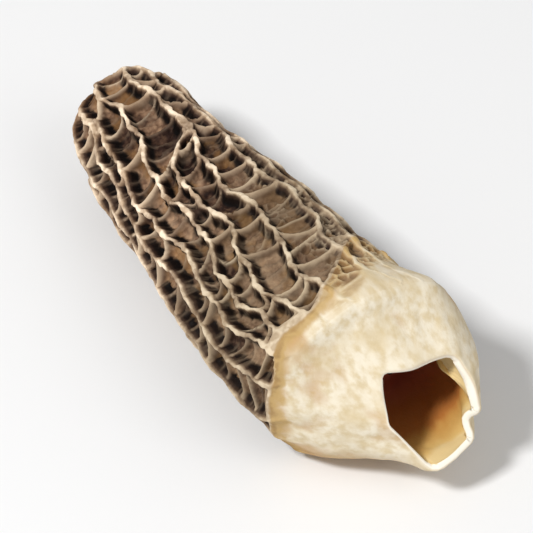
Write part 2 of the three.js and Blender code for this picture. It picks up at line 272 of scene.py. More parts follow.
def grain(points, size, number=0):
    """Smooth noise from -1 to 1 at the points, in lumps about as large as size."""
    place = points / size + NOISE_SHIFT * number
    cell = np.floor(place)
    part = place - cell
    part = part * part * (3 - 2 * part)
    total = np.zeros(len(points))
    for corner in np.ndindex(2, 2, 2):
        share = np.prod(np.where(corner, part, 1 - part), axis=-1)
        total += share * scatter((cell + corner) @ HASH, HASH_GAIN)
    return 2 * total - 1


# ---- The skin through the ridges' tops ----


def spline(points, t):
    """A uniform Catmull-Rom curve through the points, at t from 0 to 1."""
    last = len(points) - 1
    p = np.clip(np.asarray(t, float), 0, 1) * last
    k = np.minimum(np.floor(p).astype(int), last)
    w = (p - k)[..., None]
    p0, p1 = points[np.maximum(k - 1, 0)], points[k]
    p2, p3 = points[np.minimum(k + 1, last)], points[np.minimum(k + 2, last)]
    v0, v1 = (p2 - p0) / 2, (p3 - p1) / 2
    return (2 * p1 - 2 * p2 + v0 + v1) * w**3 + (-3 * p1 + 3 * p2 - 2 * v0 - v1) * w**2 + v0 * w + p1


STEP_PLACES = np.linspace(0, 1, BODY_STEPS + 1)
STEPS = np.linalg.norm(np.diff(spline(BODY[:, :2], STEP_PLACES), axis=0), axis=1)
STEP_LENGTHS = np.concatenate([[0], np.cumsum(STEPS)])
LENGTH = STEP_LENGTHS[-1]


def body_at(s):
    """The plain round section at s: x, radius, middle's y and z."""
    t = np.interp(np.clip(s, 0, LENGTH), STEP_LENGTHS, STEP_PLACES)
    return np.moveaxis(spline(BODY, t), -1, 0)


def radius_at(s):
    return float(body_at(s)[1])


def dents(s, a):
    return sum(
        depth * bump(s - at, long) * bump(turn_between(a, facing), wide)
        for at, facing, depth, long, wide in DENTS
    )


def fold_at(s, a):
    """How much thicker the wall is at the fold inside the mouth."""
    into, facing, depth, long, wide = FOLD
    return depth * bump(LENGTH - s - into, long) * bump(turn_between(a, facing), wide)


def mouth_radius(a):
    """Radius of the mouth's outline, straight from corner to corner."""
    angles, radii = np.array(MOUTH_CORNERS).T
    turn = np.mod(a - angles[0], TURN) + angles[0]
    k = np.clip(np.searchsorted(angles, turn, side="right") - 1, 0, len(angles) - 2)
    before, after = turn - angles[k], angles[k + 1] - turn
    chord = radii[k] * radii[k + 1] * np.sin(before + after)
    return chord / (radii[k] * np.sin(before) + radii[k + 1] * np.sin(after))


def shape(s, a):
    """How much the skin stands out of the plain radius, as a share of it."""
    folds = sum(share * np.cos(count * a + phase + drift * s) for count, share, phase, drift in LOBES)
    mouth = sum(share * mouth_radius(a + step * MOUTH_SOFT) for step, share in MOUTH_MEAN)
    return lerp(folds, mouth / BODY[-1, 1] - 1, smoothstep(s, LENGTH - LIP_LENGTH, LENGTH))


def wave_at(wave, a):
    reach, count, phase = wave
    return reach * np.sin(count * a + phase)


def rim_at(a):
    """Where the net ends at the angle a."""
    return RIM + sum(wave_at(wave, a) for wave in RIM_WAVES)


def skin(s, a):
    """The point at (s, a) on the surface that runs through the ridges' tops."""
    x, radius, y, z = body_at(s)
    mouth = smoothstep(s, MOUTH_FROM, LENGTH)
    height, start, end = RIM_STEP
    step = height * smoothstep(s, rim_at(a) + start, rim_at(a) + end) * (1 - mouth)
    r = radius * (1 + shape(s, a)) - dents(s, a) - step
    lean = math.tan(MOUTH_TILT) * r * np.cos(a - MOUTH_FACING) * mouth
    facing, depth, wide = NOTCH
    tear = depth * bump(turn_between(a, facing), wide) * mouth**4
    return np.stack(
        [
            x - lean - tear + wave_at(LIP_WAVE, a) * mouth - MIDDLE[0],
            y + r * np.cos(a) * (1 + SQUASH) - MIDDLE[1],
            z + r * np.sin(a) * (1 - SQUASH),
        ],
        -1,
    )


def outward(s, a):
    """The skin's normal."""
    ds, da = 0.05, 0.01
    along = skin(s + ds, a) - skin(s - ds, a)
    around = skin(s, a + da) - skin(s, a - da)
    out = np.cross(around, along)
    return out / np.linalg.norm(out, axis=-1, keepdims=True)


# ---- Ridges ----


class Ridge:
    """A ridge from the tip to the rim, or the arm that forks off one on its left at start."""

    def __init__(self, number, start=-math.inf, tip=0.0, rim=0.0, share=0.0):
        self.number, self.start, self.tip, self.rim, self.share = number, start, tip, rim, share

    def list_ribs(self):
        """The ribs across the pits on the ridge's left side, each (s, slant, height)."""
        self.ribs = []
        least_row, past_fork, spread = FIRST_RIB
        first = max(least_row, math.ceil((max(self.start, 0) + past_fork - FIRST_ROW) / ROW))
        row = first + math.floor(spread * draw(self.number, 10))
        least, most = RIB_GAP
        k = 0
        while FIRST_ROW + row * ROW < NET_END - 1:
            turn = draw(self.number, 120 + k)
            slant = ROW * ((turn < SLANTED) - (turn > 1 - SLANTED))
            height = min(TALLEST_RIB, lerp(*RIB_HEIGHT, draw(self.number, 40 + k)))
            self.ribs.append((FIRST_ROW + row * ROW, slant, height))
            row += least + math.floor((most - least + 1) * draw(self.number, 80 + k))
            k += 1

    def pull(self, s, side):
        return sum(height * bump(s - at - side * slant, KINK[1]) for at, slant, height in self.ribs)

    def snake(self, s):
        total = 0
        for k, (reach, length) in enumerate(WANDER):
            length *= lerp(*BEND_SPREAD, draw(self.number, 24 + k))
            total = total + reach * np.sin(TURN * s / length + TURN * draw(self.number, 20 + k))
        return total

    def angle(self, s):
        """The angle of the ridge's middle line at s."""
        mm = 1 / np.maximum(body_at(s)[1], 1)
        kink = KINK[0] * (self.right.pull(s, -1) - self.pull(s, 1))
        free = (self.snake(s) + kink) * mm * smoothstep(s, 0, STRAIGHT)
        if self.start < 0:
            return lerp(self.tip, self.rim, smoothstep(s, 0, RIM)) + free
        left = self.left.angle(s)
        gap = self.right.angle(s) + (TURN if self.right.number == 0 else 0) - left
        parted = smoothstep(s, self.start, self.start + FORK_LENGTH)
        return left + gap * self.share * parted + FORK_SNAKE * free * parted

    def sag(self, s):
        """How far the ridge's top dips at s."""
        depth, length = SAG
        wave = 0.5 - 0.5 * np.cos(TURN * s / length + TURN * draw(self.number, 30))
        return float(depth * wave * pit_depth(s, self.angle(s)) / PIT)

    def crinkle(self, s):
        """The small bends of the ridge's top, in mm."""
        sway, turns = CRINKLE_SWAY
        uneven = sway * math.sin(turns * s + self.number)
        return sum(
            reach * math.sin(TURN * (s / length + draw(self.number, 50 + k)) + uneven)
            for k, (reach, length) in enumerate(CRINKLE)
        )

    def edge(self, s):
        """Half the width of the ridge's top."""
        phases = (EDGE_PHASE * draw(self.number, 60), self.number)
        waves = sum(share * math.sin(turns * s + phase) for (share, turns), phase in zip(EDGE_WAVES, phases))
        return lerp(*EDGE, 0.5 + waves)


def list_ridges():
    """Every ridge in its order round the cap: those that start at the tip, and the arms that fork off."""
    at_rim = TIP_RIDGES + sum(SPLITS)
    ridges = []
    for i, splits in enumerate(SPLITS):
        number = len(ridges)
        tip = TURN * (i + UNEVEN_TIP * (draw(i, 1) - 0.5)) / TIP_RIDGES
        rim = TURN * (number + UNEVEN_RIM * (draw(i, 2) - 0.5)) / at_rim
        ridges.append(Ridge(number, tip=tip, rim=rim))
        if splits:
            start, share = lerp(*FORK_FROM, draw(i, 3)), lerp(*FORK_SHARE, draw(i, 4))
            ridges.append(Ridge(number + 1, start=start, share=share))
    for k, ridge in enumerate(ridges):
        ridge.left, ridge.right = ridges[k - 1], ridges[(k + 1) % len(ridges)]
        ridge.list_ribs()
    return ridges


def pit_depth(s, a):
    """How deep the solid's pits are."""
    share, near, far = TIP_PIT
    tip = smoothstep(s, *PIT_START) * lerp(share, 1, smoothstep(s, near, far))
    return PIT * tip * (1 - smoothstep(s, rim_at(a) - RIM_FADE, rim_at(a)))


RIDGES = list_ridges()


# ---- The net's relief ----


def lace_at(s, a):
    """How much of the finer lace there is, from 0 to 1."""
    return bump(turn_between(a, LACE_FACING), LACE_WIDTH) * smoothstep(s, *LACE_FROM)


def vein_rise(s, a):
    """The veins between small uneven cells laid over the unrolled skin, from 0 to 1."""
    wide = radius_at(s) * TURN / VEIN_COUNT
    u, v = np.mod(a, TURN) * VEIN_COUNT / TURN, s / VEIN_CELL
    distances = []
    for du, dv in np.ndindex(2 * VEIN_NEAR + 1, 2 * VEIN_NEAR + 1):
        i, j = np.floor(u) + du - VEIN_NEAR, math.floor(v) + dv - VEIN_NEAR
        key = np.mod(i, VEIN_COUNT) * HASH[0] + j * HASH[1]
        middle_u = i + lerp(*VEIN_STRAY, scatter(key, HASH_GAIN))
        middle_v = j + lerp(*VEIN_STRAY, scatter(key + HASH[2], VEIN_GAIN))
        distances.append(np.hypot((u - middle_u) * wide, (v - middle_v) * VEIN_CELL))
    nearest = np.partition(distances, 1, axis=0)
    vein = 1 - smoothstep(nearest[1] - nearest[0], *VEIN_EDGE)
    size, low, high = VEIN_GAPS
    here = np.stack([np.full(len(a), s), VEIN_ROUND * np.cos(a), VEIN_ROUND * np.sin(a)], -1)
    return vein * smoothstep(grain(here, size, VEIN_NOISE), low, high)


def fine_pit(s, a):
    """Depth of a pit's floor, with the lace's holes past the rim."""
    share, near, far = FINE_TIP_PIT
    tip = smoothstep(s, *FINE_PIT_START) * lerp(share, 1, smoothstep(s, near, far))
    rim, lace = rim_at(a), lace_at(s, a)
    end = rim - COLLAR
    deep = DEEPER * PIT * tip * (1 - LACE_FLAT * lace) * (1 - smoothstep(s, end - FINE_RIM_FADE, end))
    start, full, fade = LACE_HOLES
    holes = smoothstep(s, rim + start, rim + full) * (1 - smoothstep(s, rim + fade, rim + LACE_PAST_RIM))
    return np.maximum(deep, LACE_DEPTH * lace * holes)


def rib_rise(ridge, s, side):
    """How far a pit's floor rises on ribs and wrinkles at s, as a share of its depth, and how pale it is.

    side is the place across the pit, from -1 to 1.
    """
    rise, pale = np.zeros_like(side), np.zeros_like(side)
    for k, (at, slant, height) in enumerate(ridge.ribs):
        if abs(s - at) > RIB_REACH:
            continue
        bow = lerp(*RIB_BOW, draw(ridge.number, 160 + k))
        off = np.abs(s - at - side * slant - bow * (1 - side**2)) / (1 + RIB_FOOT * side**4)
        dip = 1 - RIB_DIP * (1 - side**2)
        paleness = lerp(*RIB_PALENESS, draw(ridge.number, 240 + k))
        rise = np.maximum(rise, height * dip * (1 - smoothstep(off, *RIB_EDGE)))
        pale = np.maximum(pale, paleness * (1 - smoothstep(off, *RIB_TOP)))
        for n in range(WRINKLES):
            tall, along, off = wrinkle(ridge, 300 + WRINKLES * k + n, s - at, side)
            rise = np.maximum(rise, tall * along * (1 - smoothstep(off, *WRINKLE_EDGE)))
            pale = np.maximum(pale, WRINKLE_PALE * along * (1 - smoothstep(off, *RIB_TOP)))
    return rise, pale


def wrinkle(ridge, key, past, side):
    """A wrinkle's height, how much of it there is at each place across the pit, and the distance from it."""
    place = lerp(*WRINKLE_PLACE, draw(ridge.number, key))
    tall = lerp(*WRINKLE_HEIGHT, draw(ridge.number, key + 200) ** 2)
    slant = lerp(*WRINKLE_SLANT, draw(ridge.number, key + 400))
    reach = lerp(*WRINKLE_REACH, draw(ridge.number, key + 600))
    facing = 1 if draw(ridge.number, key + 800) > 0.5 else -1
    start, end = WRINKLE_FADE
    along = 1 - smoothstep(facing * side, reach + start, reach + end)
    return tall, along, np.abs(past - place - side * slant)


# ---- Rows of points ----


def columns_across(width, left, right, floor_step):
    """Where columns lie between two ridges' middles, in mm: down each ridge's side, and evenly on the floor.

    left and right are half the widths of the ridges' tops.
    """
    near = [left * place for place in COLUMN_PLACES]
    far = [width - right * place for place in COLUMN_PLACES]
    near = [0.0] + [x for x in near if x < width / 2 - COLUMN_GAP]
    far = [width] + [x for x in far if x > width / 2 + COLUMN_GAP]
    room = far[-1] - near[-1]
    count = max(0, round(room / floor_step) - 1)
    floor = [near[-1] + room * (n + 1) / (count + 1) for n in range(count)]
    return np.array(near + floor + far[:0:-1])


def pit_points(s, mm, ridge, after, middle, width):
    """The row's points from one ridge's middle up to the next one's, with what the material reads."""
    left, right = ridge.edge(s), after.edge(s)
    lace_share = smoothstep(float(lace_at(s, middle + width * mm / 2)), *LACE_COLUMNS)
    across = columns_across(width, left, right, lerp(FLOOR_STEP, LACE_FLOOR_STEP, lace_share))
    side = 2 * across / width - 1
    a = middle + across * mm
    pit = fine_pit(s - lerp(*PIT_END, draw(after.number, 70)), a)
    pit = pit * smoothstep(width - CREST, LEAST_PIT, FULL_PIT)
    to_left, to_right = across - left, width - across - right
    nearest = np.minimum(to_left, to_right)

    # down the ridge's side to its foot, and then over the floor
    foot = min(FOOT, FOOT_SHARE * width)
    fall = np.clip(nearest / foot, 0, 1)
    wall = FOOT_DEPTH * (1 - (1 - fall) ** WALL_CURVE)
    in_bowl = np.clip((nearest - foot) / BOWL, 0, 1)
    bowl = (1 - FOOT_DEPTH) * np.where(fall < 1, 0, 1 - (1 - in_bowl) ** 2)

    # ribs, wrinkles and veins stand on the floor
    lace, vein, past = lace_at(s, a), vein_rise(s, a), s - rim_at(a)
    outside, inside, over_stem = VEIN_HEIGHT
    vein_height = lerp(lerp(outside, inside, lace), over_stem, smoothstep(past, -1, 0))
    rib, pale = rib_rise(after, s, side)
    rib = np.maximum(rib, vein_height * vein * smoothstep(fall, 0, 1))
    pale = np.maximum(pale, lace * vein**2)
    share = (wall + bowl) * (1 - rib)

    # the ridges' tops dip, are rounded, and run on over the stem
    top = lerp(ridge.sag(s), after.sag(s), smoothstep(across / width, *SAG_ACROSS))
    off_middle = np.clip(1 + nearest / np.where(to_left < to_right, left, right), 0, 1)
    root = ROOT * (1 - wall) * smoothstep(past, ROOT_START, 0) * (1 - smoothstep(past, 0, ROOT_LENGTH))
    depth = top * (1 - share) + pit * share + CREST_ROUND * off_middle**2 - root
    from_foot = smoothstep(fall, 0, RIB_START)
    return {
        "a": a,
        "depth": depth,
        "floor": smoothstep(nearest / foot, *FLOOR_SHOWS) * smoothstep(pit, *FLOOR_DEPTH),
        "rib": rib * from_foot,
        "top": pale * from_foot,
        "cell": np.full(len(a), draw(after.number, 200 + sum(at < s for at, _, _ in after.ribs))),
        "lace": lace,
    }


def cap_row(s):
    mm = 1 / radius_at(s)
    crinkled = float(smoothstep(s, *CRINKLE_START))
    present = [ridge for ridge in RIDGES if ridge.start < s]
    middles = [float(ridge.angle(s)) + ridge.crinkle(s) * mm * crinkled for ridge in present]
    for k in range(1, len(middles)):
        middles[k] = max(middles[k], middles[k - 1] + LEAST_GAP * mm)
    middles.append(middles[0] + TURN)
    pits = []
    for k, ridge in enumerate(present):
        after = present[(k + 1) % len(present)]
        width = (middles[k + 1] - middles[k]) / mm
        pits.append(pit_points(s, mm, ridge, after, middles[k], width))
    row = {key: np.concatenate([pit[key] for pit in pits]) for key in pits[0]}
    row["s"] = np.full(len(row["a"]), s)
    row["inside"] = np.zeros(len(row["a"]))
    return row


def plain_row(s, columns, depth_at, inside=0.0):
    """A row of the stem, the lip or the hollow; all start near ridge 0, so that rows line up."""
    a = float(RIDGES[0].angle(min(s, RIM))) + TURN * np.arange(columns) / columns
    row = {key: np.zeros(columns) for key in ("floor", "rib", "top", "cell", "lace")}
    row["a"], row["s"] = a, np.full(columns, s)
    row["depth"] = depth_at(a)
    row["inside"] = np.full(columns, inside)
    return row


def spaced(start, end, step):
    return np.linspace(start, end, round(abs(end - start) / step) + 1)


def lip_wall(a):
    middle, reach, facing = LIP_WALL
    return middle + reach * np.cos(a - facing)


def lip_row(s, share, inside):
    """A row over the lip's edge, at this share of its thickness."""
    return plain_row(s, STEM_COLUMNS, lambda a: share * (lip_wall(a) + fold_at(s, a)), inside)


def hollow_row(s, columns, thin):
    """A row of the hollow, where the wall is as thin as the lip by this share."""
    return plain_row(s, columns, lambda a: lerp(WALL, lip_wall(a), thin) + fold_at(s, a) + fine_pit(s, a), 1)


def all_rows():
    """Every row from the tip over the cap, the stem and the lip, and back inside to the hollow's end."""
    lip_start = LENGTH - LIP_ROUND
    rows = [cap_row(s) for s in spaced(FINE_START, NET_END, FINE_ROW)]
    stem = spaced(NET_END + STEM_ROW, lip_start, STEM_ROW)
    rows += [plain_row(s, STEM_COLUMNS, np.zeros_like) for s in stem]
    for k in range(1, LIP_ROWS + 1):
        turn = math.pi * k / LIP_ROWS
        edge = lip_start + LIP_ROUND * math.sin(turn)
        rows.append(lip_row(edge, (1 - math.cos(turn)) / 2, k / (LIP_ROWS + 1)))
    tapered = spaced(lip_start - STEM_ROW, lip_start - LIP_TAPER, 2 * STEM_ROW)
    plain = spaced(tapered[-1] - HOLLOW_ROW, HOLLOW_FROM, HOLLOW_ROW)
    for places, columns in ((tapered, STEM_COLUMNS), (plain, HOLLOW_COLUMNS)):
        rows += [hollow_row(s, columns, smoothstep(s, lip_start - LIP_TAPER, lip_start)) for s in places]
    return rows


def uneven(points, *layers):
    return sum(reach * grain(points, size, number) for reach, size, number in layers)


def relief(s, a, inside, points):
    """How far drying pushed the finished surface in or out, in mm."""
    start, end = CAP_GRAIN_END
    cap = (1 - smoothstep(s, rim_at(a) + start, rim_at(a) + end)) * (1 - inside)
    outer_stem = (1 - cap) * (1 - smoothstep(inside, 0, 0.5))
    long = points * FOLDS_LONG
    on_cap = uneven(points, *CAP_GRAIN)
    on_stem = uneven(long, *STEM_FOLDS) + uneven(points, *STEM_GRAIN)
    in_hollow = uneven(long, *HOLLOW_FOLDS) + uneven(points, *HOLLOW_GRAIN)
    return cap * on_cap + outer_stem * on_stem + np.where(inside == 1, in_hollow, 0)


def place_points(rows):
    """All rows' points in millimetres, each row's first index, and the values that the material reads."""
    values = {key: np.concatenate([row[key] for row in rows]) for key in rows[0]}
    s, a, depth, inside = (values[key] for key in ("s", "a", "depth", "inside"))
    out = outward(s, a)
    points = skin(s, a) - out * depth[:, None]
    values["relief"] = relief(s, a, inside, points)
    points += out * values["relief"][:, None]
    points[:, 2] = np.maximum(points[:, 2], np.where(inside == 1, HOLLOW_FLOOR, 0))
    firsts = np.concatenate([[0], np.cumsum([len(row["a"]) for row in rows])])
    return points, firsts, values


# ---- The mesh ----


def zip_rows(rows):
    """Triangles between each two rows, by the shorter way across as seen on the unrolled skin.

    A corner is a point and how many whole turns round the body it lies past its row's start.
    """
    faces, turns = [], []
    first = 0
    for low, high in zip(rows, rows[1:]):
        radius = radius_at(low["s"][0])
        (a, depth), (b, deep) = ((row["a"].tolist(), row["depth"].tolist()) for row in (low, high))
        a, depth, b, deep = a + [a[0] + TURN], depth + depth[:1], b + [b[0] + TURN], deep + deep[:1]
        n, m = len(a) - 1, len(b) - 1
        i = j = 0
        while i < n or j < m:
            step_low = i < n
            if i < n and j < m:
                from_low = (radius * (a[i + 1] - b[j])) ** 2 + (depth[i + 1] - deep[j]) ** 2
                from_high = (radius * (a[i] - b[j + 1])) ** 2 + (depth[i] - deep[j + 1]) ** 2
                step_low = from_low < from_high
            here, there = first + i % n, first + n + j % m
            if step_low:
                i += 1
                faces.append((here, first + i % n, there))
                turns.append(((i - 1) // n, i // n, j // m))
            else:
                j += 1
                faces.append((here, first + n + j % m, there))
                turns.append((i // n, j // m, (j - 1) // m))
        first += n
    return faces, turns


def make_mesh():
    """The points, faces and corners' turns of the closed skin, and each point's values."""
    rows = all_rows()
    points, firsts, values = place_points(rows)
    faces, turns = zip_rows(rows)
    tip, end = len(points), len(points) + 1
    last = firsts[-2]
    points = np.vstack([points, skin(0.0, 0.0)[None], points[last:].mean(0)[None] - [[WALL, 0, 0]]])
    for first, count, centre, step in ((0, firsts[1], tip, -1), (last, tip - last, end, 1)):
        for k in range(count):
            pair = [(k, 0), (k + 1, (k + 1) // count)][::step]
            faces.append((centre, *(first + n % count for n, _ in pair)))
            turns.append((0, *(turn for _, turn in pair)))
    at_ends = {"s": (0, HOLLOW_FROM), "depth": (TIP_DEPTH, END_DEPTH), "inside": (0, 1)}
    for key in values:
        values[key] = np.append(values[key], at_ends.get(key, (0, 0)))
    steps = [abs(b["s"][0] - a["s"][0]) + PATH_STEP for a, b in zip(rows, rows[1:])]
    path = np.cumsum([0] + steps)
    values["path"] = np.append(np.repeat(path, np.diff(firsts)), [TIP_PATH, path[-1] + END_PATH])
    return points, np.array(faces), np.array(turns), values


def add_uv(mesh, faces, turns, values):
    """Lays the skin out flat: round the body to the right, and up from the tip over the lip to the end."""
    u = values["a"][faces] / TURN + turns
    fans = faces[:, 0] >= len(values["a"]) - 2
    u[fans, 0] = u[fans, 1:].mean(axis=1)
    path = values["path"]
    v = (path - path.min()) / (path.max() - path.min())
    uv = np.stack([(u + UV_START) / UV_WIDE, lerp(UV_EDGE, 1 - UV_EDGE, v[faces])], -1)
    layer = mesh.uv_layers.new(name="OFBake")
    layer.data.foreach_set("uv", uv.ravel().astype(np.float32))


def make_piece():
    points, faces, turns, values = make_mesh()
    mesh = bpy.data.meshes.new("morel_flesh")
    mesh.from_pydata((points * MM).tolist(), [], faces.tolist())
    values["past_rim"] = values["s"] - rim_at(values["a"])
    # the pale band reaches further in at some angles: partly the flesh's own gold, partly painted light
    gold_and_painted_light_reach = sum(reach * bump(turn_between(values["a"], facing), wide) for reach, facing, wide in GOLD_AND_PAINTED_LIGHT)
    values["into"] = LENGTH - values["s"] - gold_and_painted_light_reach
    for name in ("depth", "floor", "rib", "top", "cell", "lace", "inside", "relief", "past_rim", "into"):
        layer = mesh.attributes.new(name, "FLOAT", "POINT")
        layer.data.foreach_set("value", values[name].astype(np.float32))
    add_uv(mesh, faces, turns, values)
    mesh.polygons.foreach_set("use_smooth", [True] * len(mesh.polygons))
    mesh.update()
    piece = bpy.data.objects.new("morel_flesh", mesh)
    bpy.context.scene.collection.objects.link(piece)
    return piece


# ---- Colours: red, green, blue from 0 to 255 ----

NET_COLOURS = [
    (0.0, (220, 202, 174)),
    (0.14, (200, 181, 153)),
    (0.32, (150, 129, 105)),
    (0.58, (76, 58, 46)),
    (0.95, (30, 19, 14)),
    (1.6, (13, 7, 5)),
]  # depth under the ridges' tops, colour: the pale top is the ridges' own, and the dark down their sides and in the depth is partly their own brown and partly painted shade in the pits
FLOOR_COLOURS = [
    (0.25, (20, 11, 8)),
    (0.42, (58, 40, 31)),
    (0.6, (112, 88, 68)),
    (0.85, (172, 144, 114)),
]  # from the darkest pits to the palest
RIB_COLOURS = [
    (0.1, (184, 162, 134)),
    (0.5, (146, 123, 98)),
    (1.0, (104, 81, 62)),
    (1.7, (58, 41, 30)),
]  # depth under the ridges' tops, colour: browner than the ridges, and darker in the depth, partly their own brown and partly painted shade in the pits
RIB_PALE = (198, 179, 150)
NET_SHADE = (166, 142, 114)  # times the net's colour, where it is darker
TIP_SHADE = (190, 168, 150)  # times the cap's colour at its tip
HARSH_POWER = 1.3  # the cap's upper half has its lights and darks further apart, by this power
HARSH_GAIN = (315, 323, 346)  # and then times this colour, which is lighter than white
FLOOR_GOLD = (142, 108, 66)
LACE_OCHRE = (112, 86, 56)
STEM_CREAM = (234, 224, 203)
STEM_STRAW = (210, 190, 150)
# tan near the rim, and also painted shade in the stem's creases and underneath
STEM_TAN_AND_SHADE = (186, 142, 84)
RIM_GOLD = (192, 160, 104)
RIM_BROWN = (150, 116, 74)
HOLE_COLOURS = [
    (0.1, (208, 184, 142)),
    (0.35, (142, 108, 70)),
    (0.8, (62, 44, 32)),
]  # depth, colour: the lace's pale walls, and darker at depth as painted shade in the holes
LIP_WHITE = (248, 241, 225)
HOLLOW_COLOURS = [
    (0.3, (234, 207, 150)),
    (1.2, (224, 188, 118)),
    (2.6, (214, 170, 98)),
    (3.6, (206, 154, 82)),
    (4.6, (190, 122, 60)),
    (7.0, (188, 114, 58)),
    (12.0, (206, 116, 96)),
    (30.0, (150, 82, 66)),
]  # distance in from the lip, colour
GOLD_AND_PAINTED_LIGHT = [(3.5, 0.35, 0.6), (3.2, 5.0, 0.6)]  # the pale band inside the lip is broader here, partly the thin flesh's own gold and partly painted light on the walls that the key lamp reaches: mm, a, half width
SHINE = 0.12
ROUGHNESS = (0.6, 0.85)
BUMP_HEIGHT = 0.06  # of the finest grain, in mm
BUMP_STRENGTH = 0.5


def linear(red, green, blue):
    """A colour given as the usual 0 to 255, as the light values that the shader works in."""
    parts = [c / 255 for c in (red, green, blue)]
    return tuple(c / 12.92 if c < 0.04045 else ((c + 0.055) / 1.055) ** 2.4 for c in parts) + (1,)


class Graph:
    """Short ways to add nodes to a material and to link them."""

    def __init__(self, name):
        self.material = bpy.data.materials.new(name)
        self.material.use_nodes = True
        self.tree = self.material.node_tree
        self.shader = self.tree.nodes["Principled BSDF"]
        self.place = self.tree.nodes.new("ShaderNodeTexCoord").outputs["Object"]

    def node(self, kind, inputs, output=0, **settings):
        node = self.tree.nodes.new("ShaderNode" + kind)
        for key, value in settings.items():
            setattr(node, key, value)
        for key, value in inputs.items():
            self.set(node.inputs[key], value)
        return node.outputs[output]

    def set(self, socket, value):
        if isinstance(value, bpy.types.NodeSocket):
            self.tree.links.new(value, socket)
        else:
            socket.default_value = value

    def value(self, name):
        """What make_piece wrote for each point under this name."""
        return self.node("Attribute", {}, "Fac", attribute_name=name)

    def math(self, operation, *values):
        return self.node("Math", dict(enumerate(values)), operation=operation)

    def add(self, first, second, times=1.0, less=0.0):
        """first + times * second - less."""
        return self.math("ADD", first, self.math("MULTIPLY_ADD", second, times, -less))

    def ease(self, x, low, high, start=0.0, end=1.0):
        """Goes softly from start to end as x goes from low to high."""
        inputs = {"Value": x, "From Min": low, "From Max": high, "To Min": start, "To Max": end}
        return self.node("MapRange", inputs, interpolation_type="SMOOTHSTEP")

    def share(self, x, low, high, most=1.0):
        """Goes softly from 0 to most as x goes from low to high."""
        return self.ease(x, low, high, 0.0, most)

    def blend(self, share, first, second, kind="MIX"):
        first, second = (linear(*c) if isinstance(c, tuple) else c for c in (first, second))
        inputs = {0: share, 6: first, 7: second}
        return self.node("Mix", inputs, 2, data_type="RGBA", blend_type=kind)

    def ramp(self, x, stops):
        """A colour by steps of x."""
        low, high = stops[0][0], stops[-1][0]
        share = self.node("MapRange", {"Value": x, "From Min": low, "From Max": high})
        node = self.tree.nodes.new("ShaderNodeValToRGB")
        self.set(node.inputs["Fac"], share)
        elements = node.color_ramp.elements
        while len(elements) < len(stops):
            elements.new(0.5)
        for element, (at, colour) in zip(elements, stops):
            element.position = (at - low) / (high - low)
            element.color = linear(*colour)
        return node.outputs["Color"]

    def noise(self, size, detail=2.0, stretch=(1, 1, 1)):
        """Noise from 0 to 1 in lumps of about the size in mm."""
        place = self.node("Mapping", {"Vector": self.place, "Scale": stretch})
        return self.node("TexNoise", {"Vector": place, "Scale": 1 / (size * MM), "Detail": detail})


def net_colour(g, deep, broad, patches):
    """The ridges and their sides: pale at the top, and dark in the depth, partly their own brown and partly
    painted shade; darker in places.
    """
    net = g.ramp(deep, NET_COLOURS)
    net = g.blend(g.share(broad, 0.5, 0.72, 0.45), net, NET_SHADE, "MULTIPLY")
    return g.blend(g.share(patches, 0.45, 0.65, 0.5), net, NET_SHADE, "MULTIPLY")


def floor_colour(g, fine, broad, patches):
    """The pits' floors: each pit is paler or darker as a whole, with gold in places and ochre lace."""
    pale = g.add(g.math("MULTIPLY", g.value("cell"), 0.35), patches, 0.5)
    floor = g.ramp(g.add(pale, fine, 0.3), FLOOR_COLOURS)
    floor = g.blend(g.share(broad, 0.5, 0.66, 0.55), floor, FLOOR_GOLD)
    return g.blend(g.share(g.value("lace"), 0.25, 0.8, 0.5), floor, LACE_OCHRE)


def cap_colour(g):
    fine, broad, patches = g.noise(0.5, 3.0), g.noise(3.2), g.noise(1.3)
    top, past = g.value("top"), g.value("past_rim")
    deep = g.add(g.value("depth"), fine, 0.3, less=0.15)
    spread = g.add(g.value("floor"), patches, 0.7, less=0.35)
    net, floor = net_colour(g, deep, broad, patches), floor_colour(g, fine, broad, patches)
    colour = g.blend(g.share(spread, 0.0, 1.0), net, floor)

    # ribs and wrinkles are shown by their height, and all tops by how pale they are
    rib = g.blend(g.math("MULTIPLY", top, 0.75), g.ramp(deep, RIB_COLOURS), RIB_PALE)
    shown = g.math("MAXIMUM", g.share(g.value("rib"), 0.12, 0.6, 0.95), g.math("MULTIPLY", top, 0.9))
    colour = g.blend(shown, colour, rib)

    # towards the tip it gets darker and harsher; the harsher colour also deepens the painted shade in the
    # pits
    past = g.add(past, patches, 8.0)
    colour = g.blend(g.share(past, -41.0, -46.0, 0.8), colour, TIP_SHADE, "MULTIPLY")
    harsh = g.node("Gamma", {"Color": colour, "Gamma": HARSH_POWER})
    harsh = g.blend(1.0, harsh, HARSH_GAIN, "MULTIPLY")
    return g.blend(g.share(past, -8.0, -22.0), colour, harsh)


